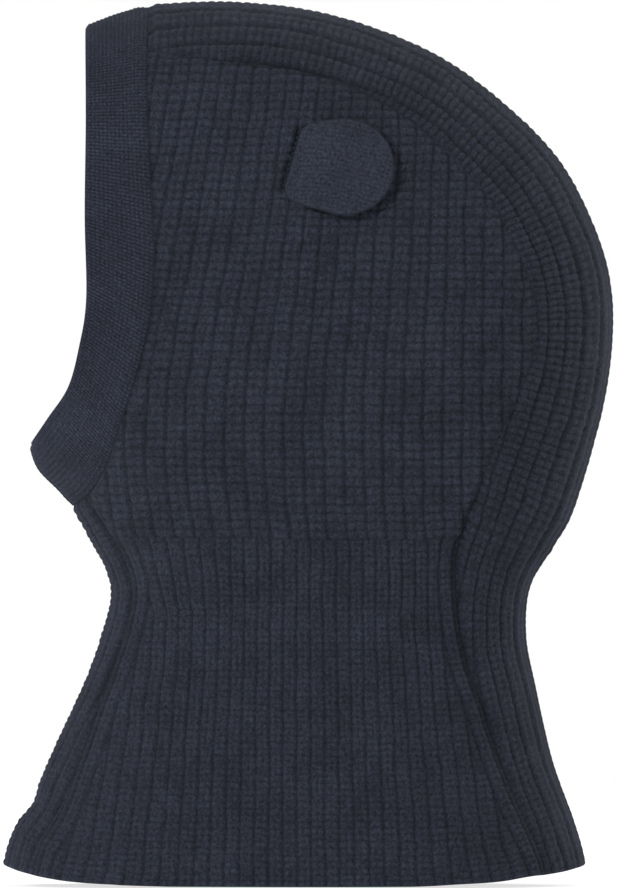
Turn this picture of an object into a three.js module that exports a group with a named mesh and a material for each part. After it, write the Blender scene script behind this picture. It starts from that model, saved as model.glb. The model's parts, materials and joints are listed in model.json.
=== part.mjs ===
// A child's knitted balaclava with two small round ears, in millimetres.
// +Z is up, +X is the wearer's left and -Y is where the face looks out.
//
// Heights are laid out from the hem, Z = 0, and the finished group is moved so that its origin
// is the middle of the wearer's head. The cloth stands as it does on a head: its side view is a
// set of curves in the YZ plane, and its half width rounds off to nothing at the midline.
import * as THREE from 'three';

// ---- driving dimensions ----
const HEAD = { y: 18, z: 238 };   // middle of the wearer's head, from the hem
const KNIT = 3.6;                 // thickness of the waffle and rib knit
const BAND = 3.2;                 // thickness of the folded face band
const SEAM_GAP = 0.2;             // each piece stops this far from its seam line, seen from the side
const CELL = 12;                  // longest side of a facet along a row of the side panels

const HEM_HALF = 63;              // half widths of the garment, from the hem up
const NECK_HALF = 47;
const HEAD_HALF = 68;
const NECK_Z = 112;               // height of the narrowest part
const WIDE_Z = 225;               // height where the hood is at full width
const SIDE_BULGE = 0.13;          // the sides bow out: this share is lost at the bulge's span
const BULGE_Y = 8;
const BULGE_SPAN = 110;
const BACK_REACH = 72;            // how deep the rounding runs in from the crown and the back
const FRONT_REACH = 58;           // and from the chin and the throat
const HEM_RISE = 5.7;             // how far the hem climbs at the ends of a side panel
const HEM_FLAT = 0.55;            // share of the panel's hem that lies flat

const THREAD = 0.8;               // radius of the linking threads inside the seams
const THREAD_GAP = 0.4;           // clearance between a thread and the cloth

const EAR_RADIUS = 20.5;          // round edge of an ear
const EAR_REACH = 18.6;           // from the ear's base to the middle of its round edge
const EAR_ARC = 2.2;              // the round edge runs this angle each way from the tip, rad
const EAR_BASE_HALF = 16;         // half the length of the sewn base
const EAR_LAYER = 1.3;            // thickness of one jersey layer
const EAR_LAYER_GAP = 0.3;
const EAR_RIM = 0.7;              // radius of the thread that links the layers' edges
const EAR_RIM_GAP = 0.3;          // clearance between that thread and the layers
const EAR_START = 0.9;            // from the hinge line to the edge of the layers
const EAR_SEAM_BACK = 1;          // from the hinge line to the stitches in front of it
const EAR_LIFT = 2.1;             // height of the ear's middle plane above the cloth
const EAR_BASE = { y: -5.1, z: 298.4 };    // middle of the sewn base, in the side view
const EAR_MIDDLE = { y: 13, z: 294 };      // middle of the round edge
const EAR_BASE_TOP = { y: -0.8, z: 313.7 };

// ---- midlines and edges, as (y, z) points of smooth curves ----
const curve = (points) => new THREE.SplineCurve(points.map(([y, z]) => new THREE.Vector2(y, z)));

// Crown and back, from the front of the face band over the head and down to the hem.
const BACK = curve([
  [-91.8, 352.6], [-70.5, 359.6], [-38, 362], [-1.6, 358.8], [29, 350.6], [57, 337.4],
  [82.8, 317.8], [103, 296.6], [115.6, 272.7], [122.8, 249.7], [124.6, 225.5], [120.5, 195.6],
  [108.7, 155], [99.5, 137.8], [90.8, 122], [89, 101.7], [92.4, 81.8], [99.6, 50.8],
  [108.2, 27], [113, 11.5],
]);
// Throat, from the tip of the chin down to the hem.
const FRONT = curve([
  [-115, 180], [-111, 170], [-99, 157.4], [-88, 138.6], [-82.5, 127.5], [-81.6, 115],
  [-90, 88.6], [-104, 58], [-113.8, 35], [-121.5, 23.4], [-126, 11.5],
]);
// Folded edge of the face band, from the tip of the chin up to the crown.
const FACE_EDGE = curve([
  [-115, 180], [-107.7, 190.4], [-99, 203.4], [-94.3, 220], [-91.2, 240], [-91.8, 274],
  [-91.4, 314], [-91.8, 352.6],
]);
// Sewn edge of the face band, from the throat up to the crown.
const BAND_SEAM = curve([
  [-97.6, 155], [-91.4, 158.8], [-86.4, 165.5], [-81.7, 175], [-76.8, 191], [-70.2, 210],
  [-65.2, 232], [-63.2, 257.5], [-64.8, 290], [-66.4, 326], [-65.6, 360.3],
]);

// How far the two long seams lie in from their midline, against the share of the way along it.
const BACK_INSET = [
  [0.03, 16], [0.1, 23.2], [0.18, 24.4], [0.3, 29], [0.45, 33], [0.57, 31.2], [0.69, 39],
  [0.75, 36], [0.8, 28.2], [0.87, 21.8], [1, 16.1],
];
const FRONT_INSET = [[0.165, 7], [0.33, 7.6], [0.45, 8], [0.58, 8.6], [0.75, 11.8], [1, 13.2]];
const BACK_START = 0.052;         // where the crown piece begins, at the face band
const BACK_START_LEAN = -0.17;    // its first row follows the band, which leans on the midline
const LEAN_FADE = 0.2;            // and the lean has gone after this share of its rows
const FRONT_START = 0.165;        // where the throat piece begins, under the band
const CROWN_CLEAR = 0.0015;       // the crown and throat pieces keep clear of the band by these
const THROAT_CLEAR = 0.006;       // shares of their length

// Shares of a seam's length at which its linking thread begins and ends.
const GUSSET_THREAD = [0.03, 0.992];
const THROAT_THREAD = [0.06, 0.98];
const CHIN_THREAD = [0.02, 0.135];
const BAND_THREAD_START = 0.032;  // share of a half turn, counted from the chin

// ---- counts of facets ----
const BAND_ROWS = 3;
const CROWN_CELLS = 4;            // across half of the crown piece
const THROAT_CELLS = 3;           // across half of the throat piece
const THROAT_ROWS = 15;           // facets of the side panel's edge along the throat
const FACE_ROWS = 19;             // and along the face band
const PANEL_ROWS = THROAT_ROWS + FACE_ROWS;
const CORNER_STEP = 0.12;         // the panel's last row stops this share of a row from its corner
const HEM_ROWS = 6;               // rows over which the hem's sag dies out
const CHIN_FINER = 1.25;          // power that packs the band's facets towards the chin
const MIDLINE_POINTS = 300;       // points along a midline when its nearest one is looked for
const SLOPE_STEP = 0.5;           // step over which the surface's slope is taken
const EAR_FACETS = 20;            // facets of the round edge of a layer
const EAR_RIM_POINTS = 14;        // points along the thread that closes it
const THREAD_DIVISIONS = 3;       // facets of half a thread's round section

// Points that a thread passes through, and facets along it.
const GUSSET_STEPS = { points: 40, facets: 52 };
const THROAT_STEPS = { points: 16, facets: 20 };
const BAND_STEPS = { points: 24, facets: 64 };
const CHIN_STEPS = { points: 4, facets: 6 };
const EAR_BASE_STEPS = { points: 6, facets: 12 };
const EAR_RIM_STEPS = 30;

// ---- wool colours, as sRGB values from 0 to 1 ----
const WAFFLE_COLOUR = [0.175, 0.19, 0.225];
const BAND_COLOUR = [0.165, 0.18, 0.215];
const EAR_COLOUR = [0.2, 0.215, 0.25];
const THREAD_COLOUR = [0.13, 0.14, 0.175];
const WOOL_ROUGHNESS = 0.95;
const THREAD_ROUGHNESS = 0.9;

// ---- small helpers ----
const { lerp, smoothstep } = THREE.MathUtils;
const count = (n) => Array.from({ length: n + 1 }, (_, i) => i);

/** Value at x of the smooth line through a table of [x, value] rows. */
function along(table, x) {
  const last = table.length - 1;
  if (x <= table[0][0]) return table[0][1];
  if (x >= table[last][0]) return table[last][1];
  const i = table.findIndex((row, k) => k < last && x < table[k + 1][0]);
  const slope = (k) => {
    const a = table[Math.max(k - 1, 0)];
    const b = table[Math.min(k + 1, last)];
    return (b[1] - a[1]) / (b[0] - a[0]);
  };
  const [x0, v0] = table[i];
  const [x1, v1] = table[i + 1];
  const h = x1 - x0;
  const t = (x - x0) / h;
  const turn = v0 - v1;
  const bend = h * (slope(i) + slope(i + 1)) + 2 * turn;
  const rise = -3 * turn - h * (2 * slope(i) + slope(i + 1));
  return ((bend * t + rise) * t + h * slope(i)) * t + v0;
}

/** Signed distance from a midline to (y, z), positive on the side the garment is on. */
function makeDepth(line, side) {
  const points = line.getSpacedPoints(MIDLINE_POINTS);
  return (y, z) => {
    let best = Infinity;
    let sign = 1;
    for (let i = 0; i < points.length - 1; i += 1) {
      const a = points[i];
      const dy = points[i + 1].x - a.x;
      const dz = points[i + 1].y - a.y;
      const t = Math.min(Math.max(((y - a.x) * dy + (z - a.y) * dz) / (dy * dy + dz * dz), 0), 1);
      const far = Math.hypot(y - a.x - t * dy, z - a.y - t * dz);
      if (far < best) {
        best = far;
        sign = Math.sign(dy * (z - a.y) - dz * (y - a.x)) * side;
      }
    }
    return best * sign;
  };
}
const depthFromBack = makeDepth(BACK, -1);
const depthFromFront = makeDepth(FRONT, 1);

/** Half width of the garment at (y, z), before it rounds off to the midline. */
function fullHalf(y, z) {
  const bulge = 1 - SIDE_BULGE * ((y - BULGE_Y) / BULGE_SPAN) ** 2;
  if (z < NECK_Z) return bulge * lerp(HEM_HALF, NECK_HALF, smoothstep(z, 0, NECK_Z));
  return bulge * lerp(NECK_HALF, HEAD_HALF, smoothstep(z, NECK_Z, WIDE_Z));
}

/** Share of the full half width, squared, at a depth from a midline. */
const rounding = (depth, reach) => 1 - (1 - Math.min(depth / reach, 1)) ** 2;

/** Square of the half width at (y, z) over the full half width. */
function share(y, z) {
  return rounding(depthFromBack(y, z), BACK_REACH) * rounding(depthFromFront(y, z), FRONT_REACH);
}

/** Point of the outer surface on the wearer's left, over (y, z) of the side view. */
function onSurface(y, z) {
  return new THREE.Vector3(fullHalf(y, z) * Math.sqrt(Math.max(share(y, z), 0)), y, z);
}

/** Outward normal of the outer surface: the slope of x² = half² · share. */
function normalAt({ x, y, z }) {
  const step = SLOPE_STEP;
  const level = (py, pz) => share(py, pz) * fullHalf(py, pz) ** 2;
  return new THREE.Vector3(
    2 * x,
    (level(y - step, z) - level(y + step, z)) / (2 * step),
    (level(y, z - step) - level(y, z + step)) / (2 * step),
  ).normalize();
}

const mirrored = (v) => new THREE.Vector3(-v.x, v.y, v.z);

/** Point of a line at a share of its length, and its normal into the garment. */
function frameOn(line, share01, side) {
  const at = line.getPointAt(share01);
  const run = line.getTangentAt(share01);
  return { at, inward: new THREE.Vector2(run.y * side, -run.x * side) };
}

/** (y, z) at a depth inside the crown and back line. */
function insideBack(along01, depth) {
  const lean = BACK_START_LEAN * depth * (1 - Math.min(along01 / LEAN_FADE, 1));
  const place = lerp(BACK_START, 1, along01) + lean / BACK.getLength();
  const { at, inward } = frameOn(BACK, place, 1);
  return at.addScaledVector(inward, depth);
}

/** (y, z) at a depth inside the throat line. */
function insideFront(along01, depth) {
  const { at, inward } = frameOn(FRONT, lerp(FRONT_START, 1, along01), -1);
  return at.addScaledVector(inward, depth);
}
const backInset = (along01) => along(BACK_INSET, lerp(BACK_START, 1, along01));
const frontInset = (along01) => along(FRONT_INSET, lerp(FRONT_START, 1, along01));

/** Depths from a midline at even steps of the rounding's angle, out to a seam. */
function depthSteps(seamDepth, reach, cells) {
  const widest = Math.acos(1 - seamDepth / reach);
  return count(cells).map((i) => reach * (1 - Math.cos((widest * i) / cells)));
}

// ---- a closed sheet of cloth between two surfaces ----

/** Triangles between two rows of point numbers, which may differ in length. */
function zip(a, b, places, faces) {
  let i = 0;
  let j = 0;
  while (i < a.length - 1 || j < b.length - 1) {
    const nextA = i < a.length - 1 ? places[a[i + 1]].distanceTo(places[b[j]]) : Infinity;
    const nextB = j < b.length - 1 ? places[a[i]].distanceTo(places[b[j + 1]]) : Infinity;
    if (nextA < nextB) {
      faces.push([a[i], a[i + 1], b[j]]);
      i += 1;
    } else {
      faces.push([a[i], b[j + 1], b[j]]);
      j += 1;
    }
  }
}

/** Closed solid over rows of outer points: each has its normal, and the cloth lies under it. */
function cloth(rows, thickness, flip = false) {
  const outer = rows.flat();
  let total = 0;
  const numbers = rows.map((row) => row.map(() => total++));
  const places = outer.map(({ at }) => at);
  const faces = [];
  numbers.slice(1).forEach((row, i) => zip(numbers[i], row, places, faces));
  const edge = [
    ...numbers[0],
    ...numbers.slice(1, -1).map((row) => row[row.length - 1]),
    ...numbers[numbers.length - 1].slice().reverse(),
    ...numbers.slice(1, -1).map((row) => row[0]).reverse(),
  ];
  const inner = outer.map(({ at, normal }) => at.clone().addScaledVector(normal, -thickness));
  const all = [...faces, ...faces.map(([a, b, c]) => [a + total, c + total, b + total])];
  edge.forEach((a, i) => {
    const b = edge[(i + 1) % edge.length];
    all.push([b, a, a + total], [b, a + total, b + total]);
  });
  const index = all.flatMap(([a, b, c]) => (flip ? [a, c, b] : [a, b, c]));
  const geometry = new THREE.BufferGeometry();
  const values = [...places, ...inner].flatMap((v) => [v.x, v.y, v.z]);
  geometry.setAttribute('position', new THREE.Float32BufferAttribute(values, 3));
  geometry.setIndex(index);
  geometry.computeVertexNormals();
  return geometry;
}

const surfacePoint = (yz) => {
  const at = onSurface(yz.x, yz.y);
  return { at, normal: normalAt(at) };
};
const mirrorPoint = ({ at, normal }) => ({ at: mirrored(at), normal: mirrored(normal) });

/** The hem's cut edge is level: its normals lie flat, so both of its edges are at one height. */
function levelled({ at, normal }) {
  return { at, normal: normal.clone().setZ(0).normalize() };
}

/** A row over the midline: the left half's points, met at the middle by their mirror image. */
function overMidline(half) {
  const [middle, ...rest] = half;
  const centre = { at: middle.at.clone().setX(0), normal: middle.normal.clone().setX(0).normalize() };
  return [...rest.map(mirrorPoint).reverse(), centre, ...rest];
}

// ---- the knitted pieces ----

/** Waffle and rib strip over the crown and down the back, between the two side panels. */
function crownBackGusset() {
  const rows = count(PANEL_ROWS).map((i) => {
    const q = i === 0 ? CROWN_CLEAR : i / PANEL_ROWS;
    const steps = depthSteps(backInset(q) - SEAM_GAP, BACK_REACH, CROWN_CELLS);
    const half = steps.map((depth) => surfacePoint(insideBack(q, depth)));
    return overMidline(i === PANEL_ROWS ? half.map(levelled) : half);
  });
  return cloth(rows, KNIT);
}

/** Rib strip down the throat, from under the face band to the hem. */
function throatGusset() {
  const rows = count(THROAT_ROWS).map((i) => {
    const q = i === 0 ? THROAT_CLEAR : i / THROAT_ROWS;
    const steps = depthSteps(frontInset(q) - SEAM_GAP, FRONT_REACH, THROAT_CELLS);
    const half = steps.map((depth) => surfacePoint(insideFront(q, depth)));
    return overMidline(i === THROAT_ROWS ? half.map(levelled) : half);
  });
  return cloth(rows, KNIT, true);
}

/** Shares along the band's seam where the throat piece ends and where the crown piece begins. */
const bandLength = BAND_SEAM.getLength();
const bandThroatEnd = frontInset(0) / bandLength;
const bandCrownStart = 1 - backInset(0) / bandLength;

/** Share along the band's seam after some facets of the face opening, finer near the chin. */
function faceShare(facets) {
  return lerp(bandThroatEnd, bandCrownStart, (facets / FACE_ROWS) ** CHIN_FINER);
}

/** The side panel's front edge, at a step from the hem (0) to the crown (PANEL_ROWS). */
function panelFront(step) {
  if (step < THROAT_ROWS) {
    const q = 1 - step / THROAT_ROWS;
    return insideFront(q, frontInset(q) + SEAM_GAP);
  }
  const { at, inward } = frameOn(BAND_SEAM, faceShare(step - THROAT_ROWS), 1);
  return at.addScaledVector(inward, SEAM_GAP);
}

/** How far the hem has climbed at a share of the panel's width: 0 in the flat middle, 1 at its ends. */
const hemClimb = (u) => (Math.max(Math.abs(2 * u - 1) - HEM_FLAT, 0) / (1 - HEM_FLAT)) ** 2;

/** One side of the hood and neck, knitted in one: rib below, waffle above. */
function sidePanel(left) {
  const steps = [...count(PANEL_ROWS - 1), PANEL_ROWS - CORNER_STEP];
  const rows = steps.map((step) => {
    const q = 1 - step / PANEL_ROWS;
    const from = panelFront(step);
    const to = insideBack(q, backInset(q) + SEAM_GAP);
    const cells = Math.max(1, Math.ceil(from.distanceTo(to) / CELL));
    const sag = HEM_RISE * Math.max(1 - step / HEM_ROWS, 0);
    return count(cells).map((i) => {
      const yz = from.clone().lerp(to, i / cells);
      const climb = hemClimb(i / cells);
      yz.y = step === 0 ? yz.y * climb : yz.y - sag * (1 - climb);
      const point = surfacePoint(yz);
      const placed = step === 0 ? levelled(point) : point;
      return left ? placed : mirrorPoint(placed);
    });
  });
  return cloth(rows, KNIT, !left);
}

/** Folded band round the face, from the chin over the crown and back to the chin. */
function faceBand() {
  const throat = depthSteps(bandThroatEnd * bandLength, FRONT_REACH, THROAT_CELLS);
  const crown = depthSteps((1 - bandCrownStart) * bandLength, BACK_REACH, CROWN_CELLS);
  const places = [
    ...throat.map((depth) => depth / bandLength),
    ...count(FACE_ROWS).slice(1, -1).map(faceShare),
    ...crown.map((depth) => 1 - depth / bandLength).reverse(),
  ];
  const rows = count(BAND_ROWS).map((row) => {
    const half = places.map((place) => {
      const { at, inward } = frameOn(BAND_SEAM, place, 1);
      const sewn = at.addScaledVector(inward, -SEAM_GAP);
      const yz = sewn.lerp(FACE_EDGE.getPointAt(place), row / BAND_ROWS);
      const point = surfacePoint(yz);
      point.at.x = Math.max(point.at.x, SEAM_GAP);
      return point;
    });
    return overMidline(half.reverse());
  });
  return cloth(rows, BAND, true);
}

// ---- threads that link the pieces, on the inside ----

/** Round thread through points of the garment's inner side. */
function thread(points, radius, steps) {
  const section = new THREE.Shape().absarc(0, 0, radius, 0, 2 * Math.PI);
  return new THREE.ExtrudeGeometry(section, {
    extrudePath: new THREE.CatmullRomCurve3(points),
    steps,
    curveSegments: THREAD_DIVISIONS,
    bevelEnabled: false,
  });
}

/** A point just inside the cloth under (y, z) of the side view. */
function underCloth(yz, left) {
  const { at, normal } = surfacePoint(yz);
  at.addScaledVector(normal, -(KNIT + THREAD_GAP + THREAD));
  return left ? at : mirrored(at);
}

function gussetSeam(left) {
  const points = count(GUSSET_STEPS.points).map((i) => {
    const q = lerp(...GUSSET_THREAD, i / GUSSET_STEPS.points);
    return underCloth(insideBack(q, backInset(q)), left);
  });
  return thread(points, THREAD, GUSSET_STEPS.facets);
}

function throatSeam(left) {
  const points = count(THROAT_STEPS.points).map((i) => {
    const q = lerp(...THROAT_THREAD, i / THROAT_STEPS.points);
    return underCloth(insideFront(q, frontInset(q)), left);
  });
  return thread(points, THREAD, THROAT_STEPS.facets);
}

function bandSeam() {
  const half = count(BAND_STEPS.points).map((i) => {
    const turn = Math.PI * lerp(BAND_THREAD_START, 1, i / BAND_STEPS.points);
    return underCloth(BAND_SEAM.getPointAt((1 - Math.cos(turn)) / 2), true);
  });
  const points = [...half, ...half.slice(0, -1).reverse().map(mirrored)];
  return thread(points, THREAD, BAND_STEPS.facets);
}

function chinSeam() {
  const points = count(CHIN_STEPS.points).map((i) => {
    const yz = FRONT.getPointAt(lerp(...CHIN_THREAD, i / CHIN_STEPS.points));
    return underCloth(yz, true).setX(0);
  });
  return thread(points, THREAD, CHIN_STEPS.facets);
}

// ---- ears ----

/** Outline of an ear in its own plane: x out from the sewn base, y along it. */
function earOutline(inset) {
  const radius = EAR_RADIUS - inset;
  const half = EAR_BASE_HALF - inset;
  const shape = new THREE.Shape();
  shape.moveTo(EAR_START, half);
  shape.lineTo(EAR_START, -half);
  shape.absarc(EAR_REACH, 0, radius, -EAR_ARC, EAR_ARC, false);
  shape.closePath();
  return shape;
}

function earLayer(outer) {
  const geometry = new THREE.ExtrudeGeometry(earOutline(2 * EAR_RIM + EAR_RIM_GAP), {
    depth: EAR_LAYER,
    curveSegments: EAR_FACETS,
    bevelEnabled: false,
  });
  return geometry.translate(0, 0, outer ? EAR_LAYER_GAP / 2 : -EAR_LAYER_GAP / 2 - EAR_LAYER);
}

function earRim() {
  const [top, ...round] = earOutline(EAR_RIM).getPoints(EAR_RIM_POINTS);
  const points = [...round.slice(0, -1), top].map(({ x, y }) => new THREE.Vector3(x, y, 0));
  return thread(points, EAR_RIM, EAR_RIM_STEPS);
}

/** The ear's frame: where its hinge line is, and its axes out of the base, along it and outward. */
function earFrame(left) {
  const middle = surfacePoint(new THREE.Vector2(EAR_MIDDLE.y, EAR_MIDDLE.z));
  const base = surfacePoint(new THREE.Vector2(EAR_BASE.y, EAR_BASE.z));
  const top = onSurface(EAR_BASE_TOP.y, EAR_BASE_TOP.z);
  const normal = middle.normal.clone();
  const reach = middle.at.clone().sub(base.at);
  const upward = top.sub(base.at);
  const line = upward.addScaledVector(normal, -upward.dot(normal)).normalize();
  const out = line.clone().cross(normal);
  if (out.dot(reach) < 0) out.negate();
  const height = reach.dot(normal) + EAR_LIFT;
  const origin = base.at.clone().addScaledVector(normal, height);
  if (left) return { origin, out, line: normal.clone().cross(out), normal };
  const outR = mirrored(out);
  const normalR = mirrored(normal);
  return { origin: mirrored(origin), out: outR, line: normalR.clone().cross(outR), normal: normalR };
}

/** Stitches that hold the ear's base, laid on the cloth just in front of the hinge line. */
function earBaseSeam(left) {
  const { out, line, origin } = earFrame(left);
  const points = count(EAR_BASE_STEPS.points).map((i) => {
    const reach = lerp(-EAR_BASE_HALF, EAR_BASE_HALF, i / EAR_BASE_STEPS.points);
    const over = origin.clone().addScaledVector(line, reach).addScaledVector(out, -EAR_SEAM_BACK);
    const { at, normal } = surfacePoint(new THREE.Vector2(over.y, over.z));
    at.addScaledVector(normal, THREAD_GAP + EAR_RIM);
    return left ? at : mirrored(at);
  });
  return thread(points, EAR_RIM, EAR_BASE_STEPS.facets);
}

// ---- materials ----
const wool = (color, roughness = WOOL_ROUGHNESS) => new THREE.MeshStandardMaterial({
  color: new THREE.Color().setRGB(...color, THREE.SRGBColorSpace),
  roughness,
  metalness: 0,
  side: THREE.DoubleSide,
});
const waffleWool = () => wool(WAFFLE_COLOUR);
const bandWool = () => wool(BAND_COLOUR);
const earWool = () => wool(EAR_COLOUR);
const linkingThread = () => wool(THREAD_COLOUR, THREAD_ROUGHNESS);

// ---- assembly ----
const balaclava = new THREE.Group();
balaclava.position.set(0, -HEAD.y, -HEAD.z);

function add(parent, name, geometry, material) {
  const mesh = new THREE.Mesh(geometry, material);
  mesh.name = name;
  parent.add(mesh);
}

add(balaclava, 'crown_back_gusset', crownBackGusset(), waffleWool());
add(balaclava, 'throat_gusset', throatGusset(), waffleWool());
add(balaclava, 'face_band', faceBand(), bandWool());
add(balaclava, 'face_band_seam', bandSeam(), linkingThread());
add(balaclava, 'chin_seam', chinSeam(), linkingThread());

for (const side of ['left', 'right']) {
  const left = side === 'left';
  add(balaclava, `${side}_side_panel`, sidePanel(left), waffleWool());
  add(balaclava, `${side}_gusset_seam`, gussetSeam(left), linkingThread());
  add(balaclava, `${side}_throat_seam`, throatSeam(left), linkingThread());
  add(balaclava, `${side}_ear_base_seam`, earBaseSeam(left), linkingThread());

  const { origin, out, line, normal } = earFrame(left);
  const ear = new THREE.Group();
  ear.position.copy(origin);
  ear.quaternion.setFromRotationMatrix(new THREE.Matrix4().makeBasis(out, line, normal));
  add(ear, `${side}_ear_front`, earLayer(true), earWool());
  add(ear, `${side}_ear_back`, earLayer(false), earWool());
  add(ear, `${side}_ear_rim_seam`, earRim(), linkingThread());
  balaclava.add(ear);
}

export default balaclava;
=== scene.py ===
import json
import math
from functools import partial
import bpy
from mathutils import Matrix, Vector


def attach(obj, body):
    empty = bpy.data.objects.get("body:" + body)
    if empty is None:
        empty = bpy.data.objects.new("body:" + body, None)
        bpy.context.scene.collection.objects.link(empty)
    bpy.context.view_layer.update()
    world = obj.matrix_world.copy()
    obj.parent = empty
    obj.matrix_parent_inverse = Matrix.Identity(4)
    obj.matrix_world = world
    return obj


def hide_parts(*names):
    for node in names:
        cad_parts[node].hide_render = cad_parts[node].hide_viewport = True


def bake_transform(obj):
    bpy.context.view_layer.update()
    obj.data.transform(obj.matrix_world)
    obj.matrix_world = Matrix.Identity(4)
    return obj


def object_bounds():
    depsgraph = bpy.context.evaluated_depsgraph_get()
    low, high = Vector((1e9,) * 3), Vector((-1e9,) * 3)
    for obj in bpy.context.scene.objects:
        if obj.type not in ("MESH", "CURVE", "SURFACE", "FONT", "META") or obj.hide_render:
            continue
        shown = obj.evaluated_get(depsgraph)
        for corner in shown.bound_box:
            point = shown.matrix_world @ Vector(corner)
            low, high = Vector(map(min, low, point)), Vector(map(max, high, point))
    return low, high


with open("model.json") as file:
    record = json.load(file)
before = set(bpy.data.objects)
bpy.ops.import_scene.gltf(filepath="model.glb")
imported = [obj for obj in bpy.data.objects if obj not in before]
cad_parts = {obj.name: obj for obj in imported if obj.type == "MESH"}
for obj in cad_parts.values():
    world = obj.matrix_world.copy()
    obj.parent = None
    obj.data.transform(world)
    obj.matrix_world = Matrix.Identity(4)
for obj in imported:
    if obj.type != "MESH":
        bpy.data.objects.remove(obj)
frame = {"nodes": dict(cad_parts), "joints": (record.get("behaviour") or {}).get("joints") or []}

# The knitted cloth of a child's balaclava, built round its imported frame.
# Shapes are worked out in millimetres above the hem and placed in the frame's metres at the end.
# y runs from the face to the back of the head, z upwards, and x is the half width to one side.
# A pair such as (182, 148) says where a ramp starts and ends.
from types import SimpleNamespace

import bpy
import numpy as np

CAD_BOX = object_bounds()
MM = 0.001

# ---- shape, as in the CAD part ----
KNIT = 3.6  # thickness of the waffle and rib knit
BAND = 3.2  # thickness of the folded face band
HEM_HALF, NECK_HALF, HEAD_HALF = 63, 47, 68
NECK_Z, WIDE_Z = 112, 225
SIDE_BULGE, BULGE_Y, BULGE_SPAN = 0.13, 8, 110
BACK_REACH, FRONT_REACH = 72, 58
HEM_FLAT = 0.55  # share of a panel's hem that lies flat
HEM_FADE = 70  # its raised ends die out over this height
HEM_HANG = [  # how far the cloth hangs below the smooth hem, along y
    (-121, 3.3), (-104, 1.7), (-80, -0.3), (-55, 0), (40, 0), (62, -0.7), (80, 0.2), (93, 0.7),
    (106, 3.0), (112, 3.6)]
HANG_REACH = 26  # the hang dies out over this height
HEM_MIDDLE, HEM_LEVEL, HEM_END = -8, 70, 49  # the hem is flat up to here from its middle
HEM_CORNER_UP, HEM_CORNER_BEND = 12.5, 1.6  # and rises this high at its corners
FOLDS = [((-1.0, -114.5, 9), (1, 34.5, 5)), ((0.8, 112, 12), (1, 15, 13))]  # along y, along z
BACK_START, BACK_START_LEAN, FRONT_START = 0.052, -0.17, 0.165
LEAN_FADE = 0.2  # share of the gusset over which its rows turn square to it

BACK_POINTS = [
    (-91.8, 352.6), (-70.5, 359.6), (-38, 362), (-1.6, 358.8), (29, 350.6), (57, 337.4),
    (82.8, 317.8), (103, 296.6), (115.6, 272.7), (122.8, 249.7), (124.6, 225.5), (120.5, 195.6),
    (108.7, 155), (99.5, 137.8), (90.8, 122), (89, 101.7), (92.4, 81.8), (99.6, 50.8),
    (108.2, 27), (113, 11.5)]
FRONT_POINTS = [
    (-115, 180), (-111, 170), (-99, 157.4), (-88, 138.6), (-82.5, 127.5), (-81.6, 115),
    (-90, 88.6), (-104, 58), (-113.8, 35), (-121.5, 23.4), (-126, 11.5)]
FACE_EDGE_POINTS = [
    (-115, 180), (-107.7, 190.4), (-99, 203.4), (-94.3, 220), (-91.2, 240), (-91.8, 274),
    (-91.4, 314), (-91.8, 352.6)]
BAND_SEAM_POINTS = [
    (-97.6, 155), (-91.4, 158.8), (-86.4, 165.5), (-81.7, 175), (-76.8, 191), (-70.2, 210),
    (-65.2, 232), (-63.2, 257.5), (-64.8, 290), (-66.4, 326), (-65.6, 360.3)]
BACK_INSET = [
    (0.03, 16), (0.1, 23.2), (0.18, 24.4), (0.3, 29), (0.45, 33), (0.57, 31.2), (0.69, 39),
    (0.75, 36), (0.8, 28.2), (0.87, 21.8), (1, 16.1)]
FRONT_INSET = [(0.165, 7), (0.33, 7.6), (0.45, 8), (0.58, 8.6), (0.75, 11.8), (1, 13.2)]

# ---- stitches ----
RIB_Z = 142.7  # the rib ends and the waffle begins at this height
RIB_PITCH = 5.35  # width of one rib at the neck
RIB_PITCH_HEM = 5.9  # and at the hem
RIB_ROW = 2.7  # height of one row of rib stitches
WAFFLE_PITCH = 7.9  # width of one waffle column
WAFFLE_ROW = 3.65  # height of one waffle cell
RIB_DEPTH, WAFFLE_DEPTH = 1.3, 1.45
SLANT_RIB, SLANT_WAFFLE = 0.75, 0.5  # rise of a stitch's legs
EDGE_STRIP = 7.4  # the ribs that follow a seam on the side panel
CROWN_LINE = 135  # height at which the back gusset's waffle ends
GUSSET_WAFFLE, GUSSET_RIB, THROAT_RIB = 7.5, 5.75, 4.9  # column widths seen from the side
WIDEST_COLUMN = 1.9  # columns stretch by up to this much
HEM_ROUND = 1.6
ROW_TURN = 27  # the back gusset's rows turn with the midline over this length
CROWN_SHADE = 0.1  # painted shade: the knit over the crown is coloured a little darker against the brighter light from above
THINNEST = -2.6  # the outer face never sinks further than this
INNER_FACE, INNER_RELIEF = KNIT - 0.3, 0.3  # depth and relief of the inner face
BAND_PITCH, BAND_ROW = 1.75, 1.65
JERSEY = 1.8  # width of a stitch on the ears
RIB_ACROSS, WAFFLE_ACROSS = 8, 10  # mesh steps over one column
RIB_UP, WAFFLE_UP = 3, 4  # and over one row
FINE_STEP = 0.09  # spacing of a row's fine points
CLOSEST = 3  # fewest of them from one point to the next
TINY = 1e-6
HEM_ROW_LEVELS = (0.06, 0.4, 0.95)  # rows that round the cut edge of the hem

OFFSET = np.array([
    0.0,
    CAD_BOX[0][1] / MM - FRONT_POINTS[-1][0],
    CAD_BOX[0][2] / MM,
])  # from the hem's middle to the frame's origin


# ---- curves ----
SPAN_STEPS = 24  # steps of a curve between two of its points
ON_LINE = 0.05  # a point this close to a midline counts as on it
SEAM_STEPS, BAND_STEPS = 400, 300
CHUNK = 4000  # points measured at a time, to save memory
SLOPE_STEP, TANGENT_REACH = 0.5, 1.5


def unit(v):
    return v / np.linalg.norm(v, axis=-1, keepdims=True)


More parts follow.
